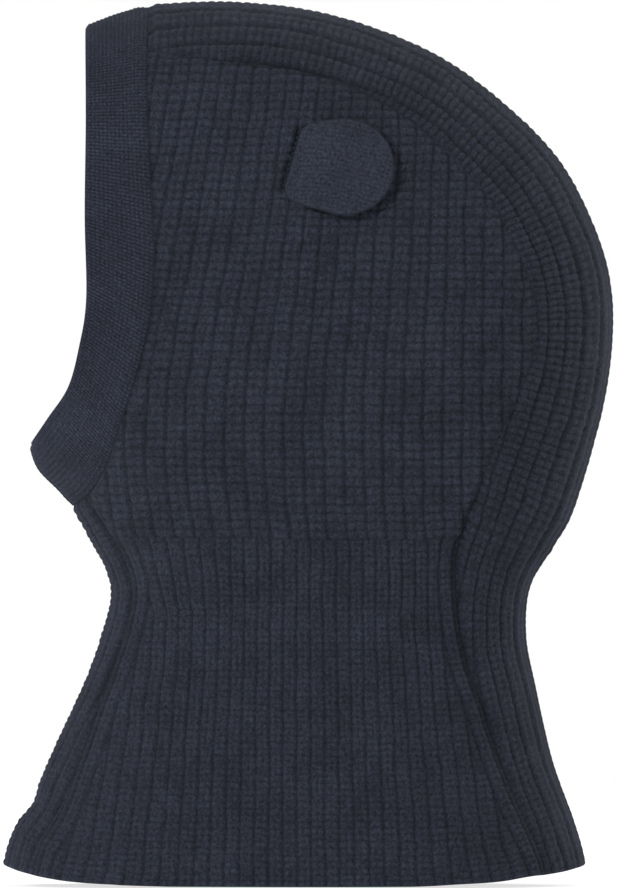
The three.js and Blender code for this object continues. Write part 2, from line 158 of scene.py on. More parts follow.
class Line:
    """Smooth curve through (y, z) points, read at shares of its length."""

    def __init__(self, points):
        p = np.array(points, float)
        steps = np.linspace(0, 1, SPAN_STEPS, endpoint=False)[:, None]
        spans = []
        for i in range(len(p) - 1):
            a, b, c, d = p[max(i - 1, 0)], p[i], p[i + 1], p[min(i + 2, len(p) - 1)]
            v0, v1 = (c - a) / 2, (d - b) / 2
            spans.append((2 * b - 2 * c + v0 + v1) * steps ** 3
                         + (3 * c - 3 * b - 2 * v0 - v1) * steps ** 2 + v0 * steps + b)
        self.points = np.vstack([*spans, p[-1:]])
        self.far = np.r_[0, np.cumsum(np.hypot(*np.diff(self.points, axis=0).T))]
        self.length = self.far[-1]

    def at(self, share):
        d = np.asarray(share) * self.length
        return np.stack([np.interp(d, self.far, self.points[:, k]) for k in (0, 1)], -1)

    def tangent(self, share, reach=TANGENT_REACH):
        step = reach / self.length
        return unit(self.at(np.clip(share + step, 0, 1)) - self.at(np.clip(share - step, 0, 1)))


BACK, FRONT = Line(BACK_POINTS), Line(FRONT_POINTS)
FACE_EDGE, BAND_SEAM = Line(FACE_EDGE_POINTS), Line(BAND_SEAM_POINTS)


def table_at(table, x):
    """Smooth line through a table of (x, value) rows."""
    xs, vs = np.array(table, float).T
    rows = np.arange(len(xs))
    before, after = np.maximum(rows - 1, 0), np.minimum(rows + 1, rows[-1])
    slopes = (vs[after] - vs[before]) / (xs[after] - xs[before])
    x = np.clip(x, xs[0], xs[-1])
    i = np.clip(np.searchsorted(xs, x, side="right") - 1, 0, len(xs) - 2)
    h = xs[i + 1] - xs[i]
    t = (x - xs[i]) / h
    turn = vs[i] - vs[i + 1]
    bend = h * (slopes[i] + slopes[i + 1]) + 2 * turn
    rise = -3 * turn - h * (2 * slopes[i] + slopes[i + 1])
    return ((bend * t + rise) * t + h * slopes[i]) * t + vs[i]


def nearest(yz, points):
    """Distance to a polyline, unit vector from it and length along it for each (y, z)."""
    yz = np.asarray(yz, float)
    a, run = points[:-1], np.diff(points, axis=0)
    size = np.einsum("ij,ij->i", run, run)
    far = np.r_[0, np.cumsum(np.sqrt(size))]
    out = np.empty(len(yz)), np.empty((len(yz), 2)), np.empty(len(yz))
    for start in range(0, len(yz), CHUNK):
        part = slice(start, start + CHUNK)
        rel = yz[part, None, :] - a[None]
        t = np.clip((rel * run).sum(-1) / size, 0, 1)
        gap = rel - t[..., None] * run
        square = (gap ** 2).sum(-1)
        best = square.argmin(1)
        rows = np.arange(len(best))
        distance = np.sqrt(square[rows, best])
        out[0][part] = distance
        out[1][part] = gap[rows, best] / np.maximum(distance, 1e-9)[:, None]
        out[2][part] = far[best] + t[rows, best] * np.sqrt(size[best])
    return out


def turned(run):
    """Square to each direction, to its right."""
    return np.stack([run[..., 1], -run[..., 0]], -1)


def midline_depth(yz, line, side):
    """Signed depth inside a midline and the direction in which it grows."""
    distance, away, along = nearest(yz, line.points[::3])
    inward = turned(line.tangent(along / line.length)) * side
    facing = np.where((away * inward).sum(-1) < 0, -1, 1)
    near = distance < ON_LINE
    return distance * facing, np.where(near[:, None], inward, away * facing[:, None])


def ramp(x, low, high):
    """A smooth step from 0 at low to 1 at high."""
    t = np.clip((x - low) / (high - low), 0, 1)
    return t * t * (3 - 2 * t)


def full_half(y, z):
    """Half width before it rounds off to the midline."""
    low = HEM_HALF + (NECK_HALF - HEM_HALF) * ramp(z, 0, NECK_Z)
    high = NECK_HALF + (HEAD_HALF - NECK_HALF) * ramp(z, NECK_Z, WIDE_Z)
    bulge = 1 - SIDE_BULGE * ((y - BULGE_Y) / BULGE_SPAN) ** 2
    return bulge * np.where(z < NECK_Z, low, high)


def surface(yz):
    """Outer surface over (y, z): points on the wearer's left, outward normals."""
    yz = np.asarray(yz, float)
    back, back_grow = midline_depth(yz, BACK, 1)
    front, front_grow = midline_depth(yz, FRONT, -1)
    y, z = yz.T

    def rounding(depth, grow, reach):
        t = np.minimum(depth / reach, 1)
        return 1 - (1 - t) ** 2, (2 * (1 - t) / reach)[:, None] * grow

    rb, db = rounding(back, back_grow, BACK_REACH)
    rf, df = rounding(front, front_grow, FRONT_REACH)
    half = full_half(y, z)
    h = SLOPE_STEP
    slope = np.stack([(full_half(y + h, z) ** 2 - full_half(y - h, z) ** 2) / (2 * h),
                      (full_half(y, z + h) ** 2 - full_half(y, z - h) ** 2) / (2 * h)], -1)
    x = half * np.sqrt(np.maximum(rb * rf, 0))
    level = (rb * rf)[:, None] * slope + (half ** 2)[:, None] * (db * rf[:, None] + df * rb[:, None])
    return np.column_stack([x, y, z]), unit(np.column_stack([2 * x, -level]))


def inside(line, start, lean, reach, side, q, depth):
    """(y, z) at a depth inside a midline, where q runs from the face to the hem. Its rows lean
    back near the start."""
    q, depth = np.broadcast_arrays(np.asarray(q, float), np.asarray(depth, float))
    lean = lean * depth * (1 - np.minimum(q / LEAN_FADE, 1))
    share = start + (1 - start) * q + lean / line.length
    return line.at(share) + side * turned(line.tangent(share, reach)) * depth[..., None]


def inset(table, start, q):
    return table_at(table, start + (1 - start) * np.asarray(q, float))


inside_back = partial(inside, BACK, BACK_START, BACK_START_LEAN, ROW_TURN, 1)
inside_front = partial(inside, FRONT, FRONT_START, 0, TANGENT_REACH, -1)
back_inset = partial(inset, BACK_INSET, BACK_START)
front_inset = partial(inset, FRONT_INSET, FRONT_START)
SHARES = np.linspace(0, 1, SEAM_STEPS)
BACK_SEAM = inside_back(SHARES, back_inset(SHARES))[::-1]  # both from the hem up to the band
THROAT_SEAM = inside_front(SHARES, front_inset(SHARES))[::-1]
BAND_FROM = float(front_inset(0)) / BAND_SEAM.length
BAND_TO = 1 - float(back_inset(0)) / BAND_SEAM.length
PANEL_FRONT = np.vstack([
    THROAT_SEAM[:-2], BAND_SEAM.at(np.linspace(BAND_FROM, BAND_TO, BAND_STEPS))])


# ---- noise and stitch relief ----
GRID, GRID_SHIFT = 64, 100.5  # noise lattice, shift that keeps places positive
LEG_BLUNT, ROW_BLUNT = 0.7, 0.75  # lower powers make broader stitches
RIB_STITCH = (5.0, 0.42, 0.5)  # sharpness of grooves, depth of legs and rows
WAFFLE_STITCH = (5.5, 0.38, 0.64)
REVERSE_STITCH = (4, 0.3, 0.4)
GROOVE_FILL, FILL_VARIES, FILL_LIMIT, RIB_FILL = 0.12, 0.4, 0.45, 0.7
UNEVEN = 0.28  # how much the relief varies from stitch to stitch
UNEVEN_SIZE = 2.6
RIB_SUNK, WAFFLE_SUNK = 1.05, 1.1  # the grooves lie this far under the smooth surface
LIP = (0.2, 2.2, 2.2)  # the waffle's first row stands a little prouder
EDGE_EASE = (-0.6, 1.6)
MID_BODY = 0.55  # the relief eases to this height along an edge
ROLL = (0.3, 5, 2.4)  # the small roll of the cloth beside a seam
CROWN_FOLD, FOLD_ABOVE = (1.25, -12, 24), 300
SEAM_DEPTH, NECK_SEAM, HEM_SEAM = 0.5, 1.15, 0.45
NECK_SEAM_Z, HEM_SEAM_Z = (182, 148), (20, 70)
THROAT_DEPTH, THROAT_SEAM_Z, THROAT_HEM_Z = 1.1, (166, 140), (20, 80)
# Painted shade beside a seam: its strength, its width, and how much less it is than the back seam's
# depth.
SHADE, SHADE_WIDTH, SHADE_FREE = 0.42, 2.2, 0.3
# SHADES bounds the relief once the painted shade is taken off.
SHADES = (-0.6, 1.2)
LEAN_TURN, LEAN_RATES = 90, (-0.18, 0.00225, 0.2)
LEAN_MIDDLE, LEAN_PER_Y, LEAN_RANGE = 0.6, 0.008, (0.05, 1.4)


def noise(y, z, scale, seed):
    """Smooth noise from -1 to 1, with features of about the given size."""
    grid = np.random.default_rng(seed).uniform(-1, 1, (GRID, GRID))
    u, v = y / scale + GRID_SHIFT, z / scale + GRID_SHIFT
    i, j = np.floor(u).astype(int), np.floor(v).astype(int)
    s, t = ramp(u - i, 0, 1), ramp(v - j, 0, 1)
    i, j, i1, j1 = i % GRID, j % GRID, (i + 1) % GRID, (j + 1) % GRID
    low = grid[i, j] * (1 - s) + grid[i1, j] * s
    high = grid[i, j1] * (1 - s) + grid[i1, j1] * s
    return low * (1 - t) + high * t


def waves(y, z, layers, seed=0):
    """Noise in layers, each with its height, its size and its own seed."""
    return sum(high * noise(y, z, size, seed + own) for high, size, own in layers)


def hill(x, high, middle, size):
    """A smooth hill; its settings are given as (height, middle, size)."""
    return high * np.exp(-((x - middle) / size) ** 2)


def across_column(u):
    """0 in the middle of a column and 1 in the groove beside it."""
    return 2 * np.abs(u - np.floor(u) - 0.5)


def stitches(u, v, style, fill=0.0, ease=1.0):
    """Relief, 0 to 1; u counts columns and v counts rows. fill closes part of the grooves,
    and ease below 1 makes the rows shallower."""
    sharpness, leg_depth, row_depth = style
    row_depth = row_depth * ease
    column = 1 - across_column(u) ** sharpness * (1 - fill)
    legs = np.abs(np.sin(2 * math.pi * u)) ** LEG_BLUNT
    rows = np.abs(np.sin(math.pi * v)) ** ROW_BLUNT
    return column * (1 - leg_depth + leg_depth * legs) * (1 - row_depth + row_depth * rows)


def fine_stitches(along, across, power, share, across_power):
    """Relief, 0 to 1, of a knit too fine to show the legs of its stitches."""
    cross = np.abs(np.sin(math.pi * across)) ** across_power
    return np.abs(np.sin(math.pi * along)) ** power * (1 - share + share * cross)


def knit_body(u, v, waffle, uneven, ease=1.0):
    """Relief of the rib or the waffle, a little uneven from stitch to stitch."""
    fill = np.clip(GROOVE_FILL + FILL_VARIES * uneven, 0, FILL_LIMIT)
    rib = stitches(u, v, RIB_STITCH, fill * RIB_FILL, ease)
    cell = stitches(u, v, WAFFLE_STITCH, fill, ease)
    return np.where(waffle, cell, rib) * (1 + UNEVEN * uneven)


def eased_edge(body, distance):
    return MID_BODY + (body - MID_BODY) * ramp(distance, *EDGE_EASE)


def knit_height(body, waffle, z_over_line):
    """Height in mm over the smooth surface."""
    rib = RIB_DEPTH * body - RIB_SUNK
    cell = WAFFLE_DEPTH * body - WAFFLE_SUNK + hill(z_over_line, *LIP)
    return np.where(waffle, cell, rib)


def crease(distance, depth, width):
    """The dip of the cloth at a seam, with the roll beside it."""
    return hill(distance, *ROLL) - hill(distance, depth, 0, width)


def back_depth(y, z):
    """The seam sinks deepest down the neck and in a fold over the crown."""
    fold = hill(y, *CROWN_FOLD) * (z > FOLD_ABOVE)
    low = HEM_SEAM + (1 - HEM_SEAM) * ramp(z, *HEM_SEAM_Z)
    return SEAM_DEPTH + NECK_SEAM * ramp(z, *NECK_SEAM_Z) * low + fold


def throat_depth(z):
    low = 0.5 + 0.5 * ramp(z, *THROAT_HEM_Z)
    return THROAT_DEPTH * ramp(z, *THROAT_SEAM_Z) * low


def seam_shade(distance, depth):
    """Painted shade: how much darker the colour is made where a seam folds the cloth in."""
    return hill(distance, SHADE * depth, 0, SHADE_WIDTH)


def column_shift(y, z):
    """How far a waffle column has leaned, in mm, above the rib."""
    up = np.maximum(z - RIB_Z, 0)
    low = np.minimum(up, LEAN_TURN)
    rate, bend, later = LEAN_RATES
    lean = rate * low + bend * low ** 2 + later * np.maximum(up - LEAN_TURN, 0)
    return lean * np.clip(LEAN_MIDDLE - LEAN_PER_Y * y, *LEAN_RANGE)


def quarter_round(t, radius):
    """How far a rounded edge draws in; t is 0 at the edge and 1 at the flat."""
    return radius * (1 - np.sqrt(1 - (1 - np.clip(t, 0, 1)) ** 2))


def draped(base, normal):
    """Lets the hem's corners hang and lays the small folds beside them."""
    y, z = base[:, 1], base[:, 2]
    fold = sum(hill(y, *along) * hill(z, *up) for along, up in FOLDS)
    corner = np.clip((np.abs(y - HEM_MIDDLE) - HEM_LEVEL) / HEM_END, 0, 1)
    above = z - HEM_CORNER_UP * corner ** HEM_CORNER_BEND
    placed = base + normal * fold[:, None]
    placed[:, 2] -= table_at(HEM_HANG, y) * np.clip(1 - above / HANG_REACH, 0, 1) ** 2
    return placed


def phase_steps(phase, zone, per):
    """Which of a row's fine points fall on the steps of the pattern."""
    step = np.floor(phase * per + TINY)
    keep, last = [0], 0
    for k in np.flatnonzero((np.diff(step) != 0) | (np.diff(zone) != 0)) + 1:
        if k - last >= CLOSEST:
            keep.append(k)
            last = k
    if len(phase) - 1 - last < CLOSEST and len(keep) > 1:
        keep.pop()
    return np.array(keep + [len(phase) - 1])


def lattice_of(names, parts):
    """The columns of all rows by name, and how many points each row has."""
    rows = [np.stack(np.broadcast_arrays(*part), -1) for part in parts]
    return SimpleNamespace(**dict(zip(names.split(), np.vstack(rows).T))), [len(r) for r in rows]


def knit_faces(p, base, normal, body, height, painted_shade, from_hem):
    """The raised outer face, the inner face and the pattern values, with the painted shade taken off
    the relief; both faces turn in at the hem.
    """
    turn = quarter_round(from_hem / HEM_ROUND, HEM_ROUND)
    under = INNER_RELIEF * stitches(p.u + 0.5, p.v, REVERSE_STITCH)
    outer = base + normal * (np.maximum(height, THINNEST) - turn)[:, None]
    inner = base - normal * (INNER_FACE + under - turn)[:, None]
    return outer, inner, np.column_stack([p.u, p.v, np.clip(body - painted_shade, *SHADES)])


# ---- closed sheets of cloth ----
def square_gap(p, q):
    return (p[0] - q[0]) ** 2 + (p[1] - q[1]) ** 2 + (p[2] - q[2]) ** 2


def zip_rows(a, b, where, faces, flip):
    """Triangles between two rows of point numbers that may differ in length."""
    pa, pb = where[a].tolist(), where[b].tolist()
    a, b = a.tolist(), b.tolist()
    i = j = 0
    last_a, last_b = len(a) - 1, len(b) - 1
    while i < last_a or j < last_b:
        step_a = i < last_a
        if step_a and j < last_b:
            step_a = square_gap(pa[i + 1], pb[j]) < square_gap(pa[i], pb[j + 1])
        if step_a:
            tri = (a[i], a[i + 1], b[j])
            i += 1
        else:
            tri = (a[i], b[j + 1], b[j])
            j += 1
        faces.append(tri[::-1] if flip else tri)


def number_rows(rows, start):
    sizes = [len(r) for r in rows]
    ends = start + np.cumsum(sizes)
    return [np.arange(e - n, e) for n, e in zip(sizes, ends)]


def rim_of(numbers):
    first, last = numbers[0], numbers[-1]
    lefts, rights = ([n[k] for n in numbers[1:-1]] for k in (0, -1))
    return np.r_[first, rights, last[::-1], lefts[::-1], first[:1]].astype(int)


def closed_sheet(outer, inner):
    """Points and triangles of a closed body between two sets of rows."""
    where = np.vstack([*outer, *inner])
    top = number_rows(outer, 0)
    bottom = number_rows(inner, sum(map(len, outer)))
    faces = []
    for rows, flip in ((top, False), (bottom, True)):
        for a, b in zip(rows[:-1], rows[1:]):
            zip_rows(a, b, where, faces, flip)
    zip_rows(rim_of(bottom), rim_of(top), where, faces, False)
    return where, np.array(faces)


def facing_out(points, faces):
    """The faces, turned round if the closed body is inside out."""
    a, b, c = (points[faces[:, k]] for k in range(3))
    volume = np.einsum("ij,ij->i", a, np.cross(b, c)).sum()
    return faces[:, ::-1] if volume < 0 else faces


def stacked(rows):
    """Point counts, outer points, inner points and pattern values of all rows."""
    return [len(row[0]) for row in rows], *(np.vstack(part) for part in zip(*rows))


def thinned(counts, step):
    """Every few rows and points, with the ends and the first rows kept."""
    last = len(counts) - 1
    keep = sorted(set(range(0, last, step)) | {0, 1, 2, last - 1, last})
    return keep, [np.array(sorted(set(range(0, counts[k], step)) | {counts[k] - 1})) for k in keep]


def build_sheet(name, counts, outer, inner, knit, mirror=False, step=3):
    """A closed piece from outer points, inner points and pattern values, in rows."""
    outer, inner, knit_rows = (np.split(a, np.cumsum(counts)[:-1]) for a in (outer, inner, knit))
    keep, picks = thinned(counts, step)
    inner, inner_knit = ([a[k][pick] for k, pick in zip(keep, picks)] for a in (inner, knit_rows))
    points, faces = closed_sheet(outer, inner)
    if mirror:
        points = points * [-1, 1, 1]
    return make_mesh(name, points, faces, np.vstack([knit, *inner_knit]))


def both_sides(left):
    """A row on the wearer's left, carried on by its mirror image."""
    return np.vstack([left, (left * [-1, 1, 1])[::-1]])


def new_object(name, data):
    obj = bpy.data.objects.new(name, data)
    bpy.context.scene.collection.objects.link(obj)
    return obj


def make_mesh(name, points, faces, knit=None):
    """A smooth mesh object in the frame, with pattern values in an attribute; the material paints
    shade from the relief in its last value.
    """
    world = (points + OFFSET) * MM
    faces = facing_out(world, np.array(faces, np.int32)).astype(np.int32)
    mesh = bpy.data.meshes.new(name)
    mesh.vertices.add(len(world))
    mesh.vertices.foreach_set("co", world.astype(np.float32).ravel())
    mesh.loops.add(faces.size)
    mesh.loops.foreach_set("vertex_index", faces.ravel())
    mesh.polygons.add(len(faces))
    mesh.polygons.foreach_set("loop_start", np.arange(0, faces.size, 3, dtype=np.int32))
    mesh.polygons.foreach_set("use_smooth", np.ones(len(faces), bool))
    mesh.update(calc_edges=True)
    mesh.validate()
    if knit is not None:
        layer = mesh.attributes.new("knit", "FLOAT_VECTOR", "POINT")
        layer.data.foreach_set("vector", knit.astype(np.float32).ravel())
    return new_object(name, mesh)


# ---- materials ----
NAVY = (0.0168, 0.0196, 0.0296)
BAND_NAVY, EAR_NAVY = tuple(c * 1.27 for c in NAVY), (0.0198, 0.0232, 0.0346)
YARN_NAVY = (0.014, 0.016, 0.024)
WOOL_SURFACE = {
    "Roughness": 0.95, "Specular IOR Level": 0.12, "Sheen Weight": 0.06, "Sheen Roughness": 0.5,
    "Sheen Tint": (0.55, 0.6, 0.75, 1)}
HEATHER, PATCHES, FIBRES = (900, 3, 0.75), (55, 2, 0.5), (1500, 4, 0.7)  # scale, detail, roughness
HEATHER_SHADES, PATCH_SHADES = (0.36, 0.64, 0.55, 1.5), (0.35, 0.65, 0.88, 1.12)
FIBRE_HEIGHT = 0.0007
# The colour is painted darker where the relief is low and lighter where it is high, as shade.
CREST, CREST_SHADE = 0.95, 1.12  # relief of the highest stitches, and how light they are painted
GROOVE_AT, DEEPEST = 0.1, -0.6  # relief of a groove, and of the darkest painted shade in a crease


def feed(tree, node, inputs):
    """Sets a node's inputs, each to a value or to the output that feeds it."""
    for key, value in inputs.items():
        if isinstance(value, bpy.types.NodeSocket):
            tree.links.new(value, node.inputs[key])
        else:
            node.inputs[key].default_value = value


def add_node(tree, kind, inputs=None, **settings):
    node = tree.nodes.new("ShaderNode" + kind)
    for key, value in settings.items():
        setattr(node, key, value)
    feed(tree, node, inputs or {})
    return node


def noise_node(tree, scale, detail, roughness):
    place = add_node(tree, "TexCoord").outputs["Object"]
    return add_node(tree, "TexNoise", {
        "Vector": place, "Scale": scale, "Detail": detail, "Roughness": roughness}).outputs["Fac"]


def ranged(tree, value, low, high, to_low, to_high):
    return add_node(tree, "MapRange", {
        "Value": value, "From Min": low, "From Max": high, "To Min": to_low,
        "To Max": to_high}).outputs["Result"]


def times(tree, a, b):
    return add_node(tree, "Math", {0: a, 1: b}, operation="MULTIPLY").outputs["Value"]


def groove_shade(tree, groove):
    """Painted shade: darker where the relief is low and lighter on the crests; groove says how much
    darker a groove is painted.
    """
    knit = add_node(tree, "Attribute", attribute_name="knit").outputs["Vector"]
    relief = add_node(tree, "SeparateXYZ", {"Vector": knit}).outputs["Z"]
    slope = (CREST_SHADE - 1 + groove) / (CREST - GROOVE_AT)
    darkest = 1 - groove - (GROOVE_AT - DEEPEST) * slope
    return ranged(tree, relief, DEEPEST, CREST, darkest, CREST_SHADE)


def wool(name, colour, fine=1.0, groove=0.36, fibres=0.7):
    """Matt heathered wool, painted darker in the grooves and creases and lighter on the crests as
    shade, with fibres in the bump.
    """
    material = bpy.data.materials.new(name)
    material.use_nodes = True
    tree = material.node_tree
    tree.nodes.clear()
    heather = noise_node(tree, HEATHER[0] * fine, *HEATHER[1:])
    shade = times(tree, ranged(tree, heather, *HEATHER_SHADES),
                  ranged(tree, noise_node(tree, *PATCHES), *PATCH_SHADES))
    # painted shade: darker in the grooves and creases, lighter on the crests
    if groove:
        shade = times(tree, shade, groove_shade(tree, groove))
    tint = add_node(tree, "Mix", {"Factor": 1.0, "A": (*colour, 1), "B": shade},
                    data_type="RGBA", blend_type="MULTIPLY")
    rough = noise_node(tree, FIBRES[0] * fine, *FIBRES[1:])
    raised = add_node(tree, "Bump", {
        "Height": rough, "Strength": fibres, "Distance": FIBRE_HEIGHT})
    shader = add_node(tree, "BsdfPrincipled", {
        **WOOL_SURFACE, "Base Color": tint.outputs["Result"], "Normal": raised.outputs["Normal"]})
    add_node(tree, "OutputMaterial", {"Surface": shader.outputs["BSDF"]})
    return material


WOOLS = {
    "waffle_knit": wool("waffle_wool", NAVY),
    "rib_knit": wool("rib_wool", NAVY),
    "band_knit": wool("band_wool", BAND_NAVY, fine=1.2, groove=0.38),
    "ear_knit": wool("ear_wool", EAR_NAVY, groove=0.2, fibres=0.9),
    "linking_thread": wool("linking_yarn", YARN_NAVY, fine=1.5, groove=0),
}


def settle(piece, slot, node, body="hood"):
    """Gives a piece its material and its body, if it has one, and hides the CAD node that it stands
    for.
    """
    piece.data.materials.append(WOOLS[slot])
    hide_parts(node)
    if body:
        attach(piece, body)
    return piece


# ---- side panels ----
RIB_MIDDLE = -5  # the ribs are counted from here along y
FAN, FAN_SPAN, FAN_LIMIT = 0.1, 70, 1.4
THROAT_WIDER, THROAT_Y, THROAT_SPAN, THROAT_RISE = 0.25, -20, 60, 40
CORNER_GAP = 0.01
PANEL_WOBBLE = [(0.07, 14, 1), (0.04, 5, 2)]
PANEL_WANDER = [(0.75, 17, 2), (0.3, 6, 3)]
PANEL_WAVE = [(0.55, 42, 5), (0.3, 17, 6)]
PANEL_SEEDS = {"left": 1, "right": 51}
CALM_SIDE, CALM_HEM, CALM_RIB_END = (0.3, 5), (2, 6), (0.2, 3.5)
WAVE_EDGE = (0, 8)
STRIP_BODY, STRIP_EASE = 0.3, 1.3
DECREASES = [(72.6, 278), (75, 269), (77, 260), (79.5, 251), (80.5, 243)]
DECREASE_RUN, DECREASE_LONG, DECREASE_WIDE = (0.5, 0.87), (0.75, 0, 3.0), (1, 0, 1.5)
BACK_CREASE, THROAT_CREASE, BAND_CREASE = 1.8, 2.6, 2.2
CHIN_Z = (192, 164)
EAR_BASE, EAR_RUN = (-5.6, 296.7), (0.27, 0.963)  # middle and direction of an ear's base
TUCK, TUCK_DIP = (1.5, -1.9, 1.4), (0.3, 0, 4)
# TUCK_SHADE: how much shade is painted into the tuck before an ear.
TUCK_HALF, TUCK_FADE, TUCK_SHADE = 16, 5, 0.5


def crossing(path, level):
    """y where a path that climbs reaches a height."""
    z = np.maximum.accumulate(path[:, 1]) + np.arange(len(path)) * TINY
    return float(np.interp(level, z, path[:, 0]))


def rib_place(y, z):
    """Rib count across the side panel; the ribs fan out towards the hem."""
    from_middle = y - RIB_MIDDLE
    t = np.clip((NECK_Z - z) / NECK_Z, 0, 1)
    pitch = RIB_PITCH + (RIB_PITCH_HEM - RIB_PITCH) * t
    spread = 1 + FAN * t * np.clip(np.abs(from_middle) / FAN_SPAN, 0, FAN_LIMIT) ** 2
    to_throat = np.clip((THROAT_Y - y) / THROAT_SPAN, 0, 1)
    above = 1 + THROAT_WIDER * np.clip((z - NECK_Z) / THROAT_RISE, 0, 1) * to_throat
    return from_middle / (pitch * spread * above)


def panel_levels():
    """Height, row count and kind of each of the side panel's rows."""
    top = min(PANEL_FRONT[-1, 1], BACK_SEAM[-1, 1])
    hem = [(level, level / RIB_ROW) for level in HEM_ROW_LEVELS]
    rib = [(k * RIB_ROW / RIB_UP, k / RIB_UP) for k in range(2, int(RIB_Z / RIB_ROW * RIB_UP))]
    shift = RIB_Z - WAFFLE_ROW / 8
    count = int((top - shift) / (WAFFLE_ROW / WAFFLE_UP)) + 1
    waffle = [(shift + k * WAFFLE_ROW / WAFFLE_UP, k / WAFFLE_UP) for k in range(count)]
    corner = [(top - CORNER_GAP, count / WAFFLE_UP)]
    return [(*r, False) for r in hem + rib] + [(*r, True) for r in waffle + corner]


def panel_coarse(levels):
    """Each row's (y, z) line; the rows by the hem climb towards their ends."""
    low_front, low_back = PANEL_FRONT[0, 1], BACK_SEAM[0, 1]
    lines = []
    for level in [row[0] for row in levels]:
        fade = max(0.0, 1 - level / HEM_FADE) ** 2
        front = crossing(PANEL_FRONT, level + low_front * fade)
        back = crossing(BACK_SEAM, level + low_back * fade)
        u = np.linspace(0, 1, max(3, int(back - front)))
        climb = (np.maximum(np.abs(2 * u - 1) - HEM_FLAT, 0) / (1 - HEM_FLAT)) ** 2
        climb = climb * (low_front + (low_back - low_front) * u)
        lines.append(np.column_stack([front + (back - front) * u, level + climb * fade]))
    return lines


def panel_lattice():
    """The side panel's points on the lines of its stitches."""
    levels = panel_levels()
    lines = panel_coarse(levels)
    flat = np.vstack(lines)
    seams = [nearest(flat, path)[0] for path in (
        BACK_SEAM[::4], THROAT_SEAM[::4], BAND_SEAM.points[::3])]
    parts, start = [], 0
    for (level, v, waffle), line in zip(levels, lines):
        span = slice(start, start + len(line))
        start += len(line)
        y = np.append(np.arange(line[0, 0], line[-1, 0], FINE_STEP), line[-1, 0])
        z = np.interp(y, line[:, 0], line[:, 1])
        back, throat, band = (np.interp(y, line[:, 0], s[span]) for s in seams)
        wobble = waves(y, z, PANEL_WOBBLE)
        edge = np.minimum(back, throat)
        strip = (edge < EDGE_STRIP) & (not waffle)
        if waffle:
            u = (y - column_shift(y, z)) / WAFFLE_PITCH + wobble
        else:
            u = np.where(strip, (edge - EDGE_STRIP) / RIB_PITCH, rib_place(y, z) + wobble)
        end = np.minimum(y - y[0], y[-1] - y)
        k = phase_steps(u, strip, WAFFLE_ACROSS if waffle else RIB_ACROSS)
        parts.append((y[k], z[k], u[k], v, level, waffle, back[k], throat[k], band[k], end[k]))
    return lattice_of("y z u v level waffle back throat band end", parts)


def beside(y, z, middle, run):
    """Places along a line through a point, and to its right."""
    y, z = y - middle[0], z - middle[1]
    return y * run[0] + z * run[1], y * run[1] - z * run[0]


def panel_points(p, seed):
    """Moves the lattice along its stitches, then raises it into cloth."""
    waffle = p.waffle > 0.5
    calm = ramp(p.end, *CALM_SIDE) * ramp(p.level, *CALM_HEM)
    slant = np.where(waffle, SLANT_WAFFLE, SLANT_RIB)
    slant = slant * ramp(np.abs(p.level - RIB_Z), *CALM_RIB_END)
    z = p.z + calm * (waves(p.y, p.z, PANEL_WANDER, seed) - slant * across_column(p.u))
    base, normal = surface(np.column_stack([p.y, z]))
    base = draped(base, normal)
    body = knit_body(p.u, p.v, waffle, noise(p.y, z, UNEVEN_SIZE, seed + 4))
    strip = np.abs(np.minimum(p.back, p.throat) - EDGE_STRIP)
    body *= np.where(waffle, 1, STRIP_BODY + (1 - STRIP_BODY) * ramp(strip, 0, STRIP_EASE))
    body = eased_edge(body, p.end)
    height = knit_height(body, waffle, p.level - RIB_Z)
    height += waves(p.y, z, PANEL_WAVE, seed) * ramp(p.end, *WAVE_EDGE)
    for place in DECREASES:
        along, side = beside(p.y, z, place, DECREASE_RUN)
        height += hill(along, *DECREASE_LONG) * hill(side, *DECREASE_WIDE)
    back, throat, tuck = back_depth(p.y, z), throat_depth(z), ear_tuck(p.y, z)
    at_chin = ramp(z, *CHIN_Z)
    height += crease(p.back, back, BACK_CREASE) + crease(p.throat, throat, THROAT_CREASE)
    height += crease(p.band, 1 - 0.6 * at_chin, BAND_CREASE) + tuck
    # painted shade along the seams and the band, and in the tuck before an ear
    painted_shade = seam_shade(p.back, back - SHADE_FREE) + seam_shade(p.throat, throat)
    painted_shade += seam_shade(p.band, 0.9 - 0.5 * at_chin) - TUCK_SHADE * tuck
    return knit_faces(p, base, normal, body, height, painted_shade, p.level)


def ear_tuck(y, z):
    """The groove that the panel makes in front of an ear's base."""
    along, side = beside(y, z, EAR_BASE, EAR_RUN)
    groove = hill(side, *TUCK) + hill(side, *TUCK_DIP)
    return -groove * ramp(TUCK_HALF - np.abs(along), 0, TUCK_FADE)


def side_panel(side, p, counts):
    shape = panel_points(p, PANEL_SEEDS[side])
    piece = build_sheet(f"{side}_side_panel_knit", counts, *shape, side == "right")
    return settle(piece, "waffle_knit", f"{side}_side_panel")


# ---- strips over a midline ----
STRIP_STEPS = 1400  # fine steps across a strip
WOBBLE_LENGTH = 500
STRIP_WOBBLE, STRIP_WANDER, STRIP_WAVE = [(0.05, 15, 0)], [(0.6, 18, 1)], [(0.5, 36, 3)]
CALM_EDGE, CALM_END, RIDGE_RANGE = (0.3, 4), (1.5, 6), (6, 32)
STRIP_CREASE, START_CREASE, START_DEPTH = 1.8, 1.4, 0.8
# CROWN_SHADE_Z: heights over which the crown's painted shade comes in
CROWN_SHADE_Z, CROWN_RIDGE_Z = (270, 330), (250, 330)
GUSSET_PITCH_Z = (118, 160)
HEM_GAP, ROW_GAP = 1.4, 0.05
CROWN_SEED, THROAT_SEED = 101, 201


